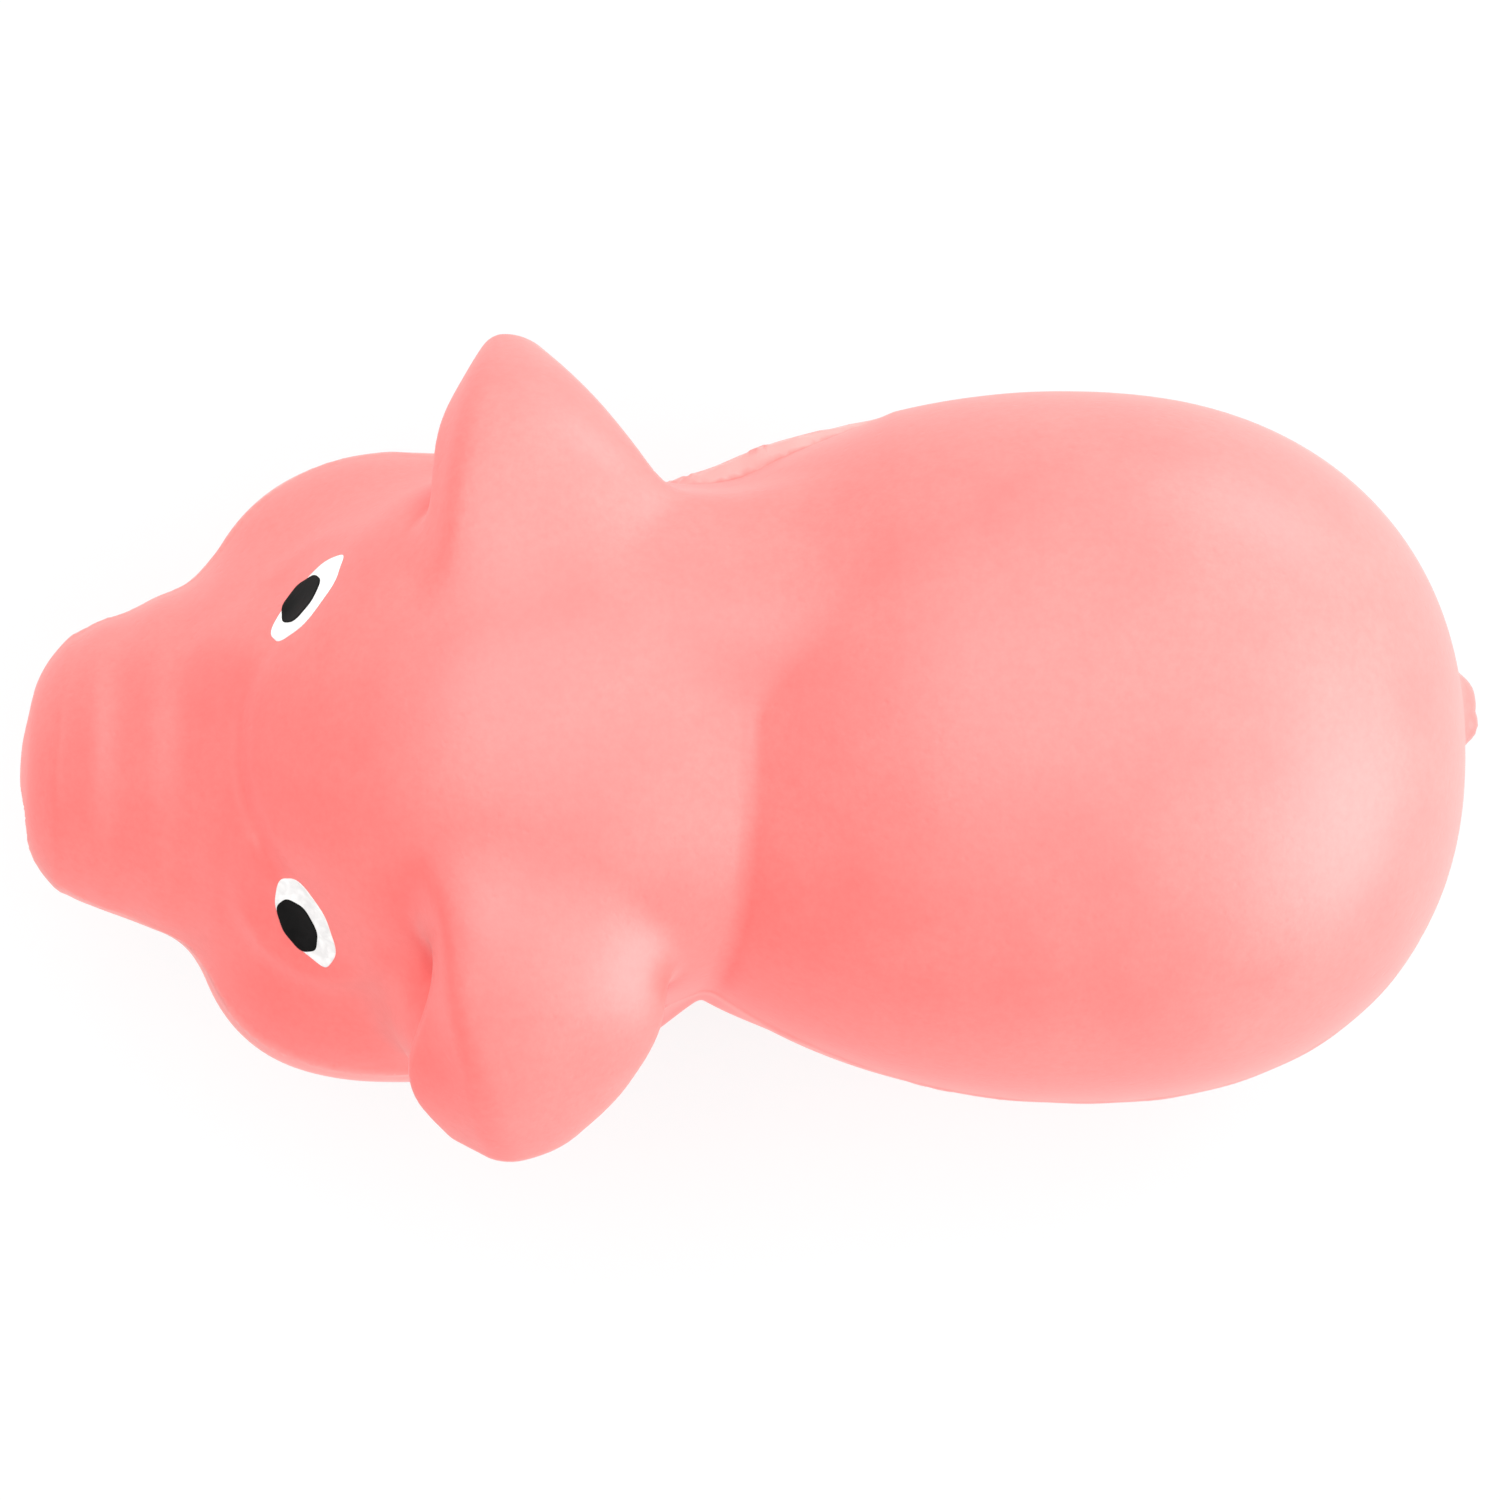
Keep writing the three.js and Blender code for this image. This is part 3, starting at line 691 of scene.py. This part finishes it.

# %% [markdown]
# ## The pieces, cut where they bend
# Foam bends over a few millimetres, not at a hinge. An armature could do it. Here each piece is cut out by
# planes at a bend and hides the solids that it stands for. The neck is cut along its crease, which leans back
# as it rises.

# %% Torso and back
crease_lean = math.radians(17)
crease_way = np.array([math.cos(crease_lean), 0, -math.sin(crease_lean)])
crease_cut = (tuple(neck), tuple(crease_way))
back_cut, back_way = (9.5, 0, 48.0), (0.4226, 0, 0.9063)
back_plane = (back_cut, back_way)
leg_cut = 7.2
leg_plane = ((0, 0, leg_cut), (0, 0, 1))


torso = foam_piece("foam_torso", part([(*crease_cut, 1), (*back_plane, -1), (*leg_plane, 1)]),
                   "torso_skin", "torso_core", "tail")
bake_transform(torso)
back = foam_piece("foam_back", part([(*back_plane, 1)]), "back_skin")
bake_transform(back)
foam = [torso, back]

# %% Leg pieces
leg_room, bend_end = 11, 1.5
for name in ("leg_front_left", "leg_front_right", "leg_rear_left", "leg_rear_right"):
    x, y, _ = sum(corners_mm(name)) / 2
    leg = foam_piece("foam_" + name, part(
        [(*leg_plane, -1)], lambda v: (v - Vector((x, y, v.z))).length < leg_room), name)
    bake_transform(leg)
    foam.append(leg)

# %% Head, snout and ears
ear_way, ear_cut = np.array([0, 0.94, 0.3412]), 28.5
ear_planes = {side: (tuple(ear_way * [1, sign, 1] * ear_cut), tuple(ear_way * [1, sign, 1]))
              for side, sign in sides.items()}
snout_cut = -38.0
snout_plane = ((snout_cut, 0, 0), (1, 0, 0))

head = foam_piece("foam_head", part([(*crease_cut, -1), (*snout_plane, 1), (*ear_planes["right"], -1),
                                     (*ear_planes["left"], -1)]), "head_skin", "head_core", "neck_core")
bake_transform(head)
snout = foam_piece("foam_snout", part([(*snout_plane, -1)]), "snout_tip", "snout_bridge")
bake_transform(snout)
foam += [head, snout]
for side, (point, way) in ear_planes.items():
    ear = foam_piece("foam_ear_" + side, part([(*crease_cut, -1), (point, way, 1)]), "ear_" + side)
    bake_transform(ear)
    foam.append(ear)
body.free()

# %% [markdown]
# ## Painted eyes
# Each eye is two dabs of flexible paint: a white almond, and a black pupil that sits off its centre. The two
# eyes differ, as hand-painted ones do. A decal or a painted texture would do, but a dab of its own has a real
# edge that catches the light. A ball is flattened to a lens, its outline is drawn as an almond or an oval
# with the small wobble of a hand, and it is laid on the skin.

# %% Paint on the skin
wobble_slow, wobble_fast = 0.03, 0.02
rim_steepness, paint_sunk = 2.2, 0.25


def on_skin(p):
    """Slides points on to the skin, and gives the outward way there."""
    for _ in range(4):
        way = slope(p)
        p = p - skin(p)[:, None] * way / (way**2).sum(1)[:, None]
    way = slope(p)
    return p, way / np.linalg.norm(way, axis=1)[:, None]


def dropped(x, y):
    """The highest skin at a place, found by halving the height again and again."""
    low, high = 20.0, 50.0
    for _ in range(24):
        middle = (low + high) / 2
        low, high = (middle, high) if skin(np.array([[x, y, middle]]))[0] < 0 else (low, middle)
    return np.array([x, y, low])


def dab(name, middle, long_way, half_long, half_high, point, base, proud, wobble):
    """A lens of paint whose rim lies base above the skin: point is 1 for an oval, more for pointed ends."""
    bm = bmesh.new()
    bmesh.ops.create_uvsphere(bm, u_segments=72, v_segments=28, radius=1)
    unit = np.array([v.co for v in bm.verts])
    centre, out = on_skin(middle[None])
    long_way = long_way - (long_way @ out[0]) * out[0]
    long_way /= np.linalg.norm(long_way)
    high_way = np.cross(out[0], long_way)
    angle = np.arctan2(unit[:, 1], unit[:, 0])
    radius = np.hypot(unit[:, 0], unit[:, 1])
    edge = 1 + wobble_slow * np.sin(3 * angle + wobble) + wobble_fast * np.sin(7 * angle + 2 * wobble)
    across = radius * edge * half_long * np.cos(angle)
    tall = radius * edge * half_high * np.sign(np.sin(angle)) * np.abs(np.sin(angle)) ** point
    laid, ways = on_skin(centre + across[:, None] * long_way + tall[:, None] * high_way)
    dome = proud * np.clip(rim_steepness * unit[:, 2], 0, 1) ** 0.5
    lift = base + np.where(unit[:, 2] > 0, dome, paint_sunk * unit[:, 2])
    for vert, place in zip(bm.verts, (laid + ways * lift[:, None]) * 0.001):
        vert.co = Vector(place)
    bmesh.ops.recalc_face_normals(bm, faces=bm.faces)
    for face in bm.faces:
        face.smooth = True
    mesh = bpy.data.meshes.new(name)
    bm.to_mesh(mesh)
    bm.free()
    piece = bpy.data.objects.new(name, mesh)
    bpy.context.scene.collection.objects.link(piece)
    print(name, "faces:", len(mesh.polygons), "centre mm:", np.round(centre[0], 1))
    return piece


print("skin at the right eye, mm:", np.round(dropped(*eye_places["right"][:2]), 1))

# %% Eyes
eye_along = {"right": np.array([0.61, 0.78, 0.10]), "left": np.array([0.33, -0.83, -0.45])}
eye_size = {"right": (3.5, 2.15), "left": (3.37, 2.1)}
pupil_size = {"right": (1.85, 1.7), "left": (2.0, 1.45)}
pupil_shift = {"right": (-0.42, 0.02), "left": (-0.5, -0.2)}
almond, oval = 1.15, 1.0
white_thick, pupil_thick = 0.06, 0.05
white_wobble, pupil_wobble = 1.0, 2.5

whites, pupils = [], []
for side, (x, y, _) in eye_places.items():
    white = dab("paint_eye_white_" + side, dropped(x, y), eye_along[side], *eye_size[side], almond,
                0.0, white_thick, white_wobble)
    right, up = pupil_shift[side]
    pupil = dab("paint_pupil_" + side, dropped(x + right, y + up), eye_along[side], *pupil_size[side], oval,
                white_thick, pupil_thick, pupil_wobble)
    for piece, node, paint, group in ((white, "eye_white_", "white_paint", whites),
                                      (pupil, "pupil_", "black_paint", pupils)):
        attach(piece, "head")
        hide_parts(node + side)
        group.append(piece)

# %% [markdown]
# ## Materials
# Each material is named for the real one, and its patterns are worked out from a place on the piece. They
# could be set up in the shader editor. Written as code, a node is one line. Colours are written as they look
# on a screen and turned to the linear numbers that Blender mixes.

# %% Node tools


def ink(code):
    """A linear colour from an sRGB hex code."""
    parts = [int(code[i:i + 2], 16) / 255 for i in (1, 3, 5)]
    return [c / 12.92 if c <= 0.04045 else ((c + 0.055) / 1.055) ** 2.4 for c in parts] + [1]


def add(tree, kind, sockets=None, **settings):
    """Adds a node, with its settings, and its sockets set to a value or linked from another node's output."""
    node = tree.nodes.new("ShaderNode" + kind)
    for name, value in settings.items():
        setattr(node, name, value)
    for name, value in (sockets or {}).items():
        socket = next(s for s in node.inputs if s.identifier == name)
        if isinstance(value, bpy.types.NodeSocket):
            tree.links.new(value, socket)
        else:
            socket.default_value = value
    return node


def new_material(name):
    """An empty material: its tree, and the Object coordinates that its patterns read."""
    material = bpy.data.materials.new(name)
    material.use_nodes = True
    material.node_tree.nodes.clear()
    place = add(material.node_tree, "TexCoord").outputs["Object"]
    return material, material.node_tree, place


def tones(tree, value, *stops):
    """A colour that runs between two tones as a value rises. Each stop is a value and a colour."""
    node = add(tree, "ValToRGB", {"Fac": value})
    for element, (position, code) in zip(node.color_ramp.elements, stops):
        element.position, element.color = position, ink(code)
    return node.outputs["Color"]


def tinted(tree, share, colour, code):
    """A colour with a share of another mixed in."""
    return add(tree, "Mix", {"Factor_Float": share, "A_Color": colour, "B_Color": ink(code)},
               data_type="RGBA").outputs[2]


def carried(tree, value, start, end, low, high):
    """A value carried over from the span start to end on to the span low to high."""
    return add(tree, "MapRange", {"Value": value, "From Min": start, "From Max": end,
                                  "To Min": low, "To Max": high}).outputs["Result"]


def math_node(tree, operation, first, second):
    """A sum worked out by the shader."""
    return add(tree, "Math", {"Value": first, "Value_001": second}, operation=operation).outputs["Value"]


def per_metre(size_mm):
    """The scale of a pattern whose spots are that many millimetres across."""
    return 1000 / size_mm


print("white, in linear numbers:", ink("#ffffff"))

# %% [markdown]
# ### Foam skin
# Polyurethane foam that foams up in a closed mould grows a dense, smooth skin against its wall. The pigment
# is mixed in, so the colour goes right through. To the eye it is satin, not glossy, with pin-sized pores and
# a faint mottling where the foam set at different speeds. The folds are painted a deeper pink as painted
# shade, and the flash a paler one, which on the shoulder ledge is a painted highlight.

# %% Foam skin patterns
mottle_mm, speckle_mm, pore_mm = 9, 0.55, 0.9
foam_skin, tree, place = new_material("moulded_polyurethane_foam_skin")
mottle = add(tree, "TexNoise", {"Vector": place, "Scale": per_metre(mottle_mm), "Detail": 4.0,
                                "Roughness": 0.6}).outputs["Fac"]
speckle = add(tree, "TexNoise", {"Vector": place, "Scale": per_metre(speckle_mm), "Detail": 2.0,
                                 "Roughness": 0.7}).outputs["Fac"]
pores = add(tree, "TexVoronoi", {"Vector": place, "Scale": per_metre(pore_mm),
                                 "Randomness": 1.0}).outputs["Distance"]
# painted shade in the folds, and the flash with its painted highlight on the ledge, as kept on the points
hollow = add(tree, "Attribute", attribute_name="hollow").outputs["Fac"]
flash_and_highlight = add(tree, "Attribute", attribute_name="flash_and_highlight").outputs["Fac"]
print("mottle, speckle and pores, mm:", mottle_mm, speckle_mm, pore_mm)

# %% Foam skin material
speckle_share, flash_and_highlight_share, satin_range = 0.35, 0.7, (0.38, 0.5)
peel_depth, pore_depth = 0.00006, 0.00005
pink = tones(tree, mottle, (0.3, "#fb706c"), (0.7, "#ff7c77"))
pink = tinted(tree, carried(tree, speckle, 0.35, 0.75, 0.0, speckle_share), pink, "#f66562")
# painted shade: the folds tinted a deeper pink
pink = tinted(tree, hollow, pink, "#f44544")
# the paler flash along the mould line, made a painted highlight on the shoulder ledge
pink = tinted(tree, math_node(tree, "MULTIPLY", flash_and_highlight, flash_and_highlight_share), pink, "#ffaca7")
satin = carried(tree, mottle, 0.3, 0.7, *satin_range)
pit = carried(tree, pores, 0.0, 0.25, 0.0, 1.0)
orange_peel = add(tree, "Bump", {"Height": speckle, "Strength": 0.25, "Distance": peel_depth})
dimpled = add(tree, "Bump", {"Height": pit, "Strength": 0.2, "Distance": pore_depth,
                             "Normal": orange_peel.outputs["Normal"]})
shader = add(tree, "BsdfPrincipled", {
    "Base Color": pink, "Roughness": satin, "Normal": dimpled.outputs["Normal"], "IOR": 1.5,
    "Specular IOR Level": 0.75, "Sheen Weight": 0.2, "Sheen Roughness": 0.45, "Sheen Tint": ink("#ffd9d6")})
add(tree, "OutputMaterial", {"Surface": shader.outputs["BSDF"]})
for piece in foam:
    piece.data.materials.append(foam_skin)
print("foam pieces:", len(foam))

# %% [markdown]
# ### Eye paint
# The whites and pupils are brushed on with a flexible acrylic paint that stretches with the foam. To the eye
# it is a flat white and a dull black, with faint strokes in both.

# %% Paint materials
stroke_mm, stroke_span, stroke_depth = 0.8, (0.36, 0.62), 0.00005
for name, stroke_tones, roughness, specular, pieces in (
        ("flexible_acrylic_paint_white", ("#ecebea", "#fdfcfb"), (0.36, 0.5), 0.5, whites),
        ("flexible_acrylic_paint_black", ("#040404", "#0e0d0d"), (0.5, 0.65), 0.1, pupils)):
    paint, tree, place = new_material(name)
    strokes = add(tree, "TexNoise", {"Vector": place, "Scale": per_metre(stroke_mm), "Detail": 3.0,
                                     "Distortion": 0.6}).outputs["Fac"]
    tint = tones(tree, strokes, *zip(stroke_span, stroke_tones))
    gloss = carried(tree, strokes, 0.0, 1.0, *roughness)
    ripple = add(tree, "Bump", {"Height": strokes, "Strength": 0.3, "Distance": stroke_depth})
    shader = add(tree, "BsdfPrincipled", {
        "Base Color": tint, "Roughness": gloss, "Normal": ripple.outputs["Normal"], "IOR": 1.48,
        "Specular IOR Level": specular})
    add(tree, "OutputMaterial", {"Surface": shader.outputs["BSDF"]})
    for piece in pieces:
        piece.data.materials.append(paint)
    print(name, "on", len(pieces), "pieces")

# %% [markdown]
# ## Floor
# The photograph's background is plain white. The floor is white card that keeps a soft shadow of the toy. A
# brighter lamp would whiten it too. Instead it shows most of its whiteness to the camera directly, so that no
# extra light has to fall on the pig.

# %% Floor
floor_half_width, fibre_mm, card_white, direct_share = 1.5, 1.5, (0.78, 0.82), 0.82
floor_bm = bmesh.new()
bmesh.ops.create_grid(floor_bm, x_segments=2, y_segments=2, size=floor_half_width)
floor_mesh = bpy.data.meshes.new("floor")
floor_bm.to_mesh(floor_mesh)
floor_bm.free()
floor = bpy.data.objects.new("floor", floor_mesh)
bpy.context.scene.collection.objects.link(floor)

card, tree, place = new_material("white_card")
fibre = add(tree, "TexNoise", {"Vector": place, "Scale": per_metre(fibre_mm), "Detail": 3.0}).outputs["Fac"]
matt = add(tree, "BsdfDiffuse", {"Color": carried(tree, fibre, 0.0, 1.0, *card_white)})
plain = add(tree, "Emission", {"Color": ink("#ffffff"), "Strength": 1.0})
ray = add(tree, "LightPath").outputs
seen = math_node(tree, "MAXIMUM", ray["Is Camera Ray"], ray["Is Glossy Ray"])
seen = math_node(tree, "MAXIMUM", seen, ray["Is Transmission Ray"])
mixed = add(tree, "MixShader", {"Fac": math_node(tree, "MULTIPLY", seen, direct_share),
                                "Shader": matt.outputs["BSDF"], "Shader_001": plain.outputs["Emission"]})
add(tree, "OutputMaterial", {"Surface": mixed.outputs["Shader"]})
floor_mesh.materials.append(card)
print("floor, m:", floor.dimensions[:])

# %% [markdown]
# ## Light
# The photograph's rump and right flank are pale and its left cheek is deep pink, so most light came from
# behind the pig and from its right. An image of a studio could light the world. Here the world is a plain
# gradient, brightest that way, with a soft box at the rear, one above and one at the right for the broad
# highlights. The camera sees plain white instead of the gradient.

# %% World
light_way, sky_dim, sky_bright = (0.5, 0.38, 0.78), 0.16, 1.74
dim_up_to, bright_from = -0.6, 1.0
scene = bpy.context.scene
scene.view_settings.view_transform = "Standard"
scene.world = bpy.data.worlds.new("studio")
scene.world.use_nodes = True
tree = scene.world.node_tree
tree.nodes.clear()
way = add(tree, "TexCoord").outputs["Generated"]
facing = add(tree, "VectorMath", {"Vector": way, "Vector_001": light_way}, operation="DOT_PRODUCT")
level = carried(tree, facing.outputs["Value"], dim_up_to, bright_from, sky_dim, sky_bright)
sky = add(tree, "Background", {"Color": ink("#ffffff"), "Strength": level})
plain = add(tree, "Background", {"Color": ink("#ffffff"), "Strength": 1.0})
ray = add(tree, "LightPath").outputs
mixed = add(tree, "MixShader", {"Fac": ray["Is Camera Ray"], "Shader": sky.outputs["Background"],
                                "Shader_001": plain.outputs["Background"]})
add(tree, "OutputWorld", {"Surface": mixed.outputs["Shader"]})
print("sky strength from", sky_dim, "to", sky_bright)

# %% Soft boxes
lit_place = Vector((0.01, 0, 0.03))


def softbox(name, place, size, watts):
    """A square soft light that faces the toy."""
    lamp = bpy.data.lights.new(name, "AREA")
    lamp.size, lamp.energy = size, watts
    box = bpy.data.objects.new(name, lamp)
    box.location = place
    box.rotation_euler = (lit_place - Vector(place)).to_track_quat("-Z", "Y").to_euler()
    scene.collection.objects.link(box)
    print(name, "m away:", round(Vector(place).length, 2))


softbox("rear softbox", (0.46, -0.14, 0.17), 0.45, 2.4)
softbox("top softbox", (-0.1, 0.1, 0.50), 0.30, 0.55)
softbox("side softbox", (0.3, 0.42, 0.06), 0.30, 0.9)
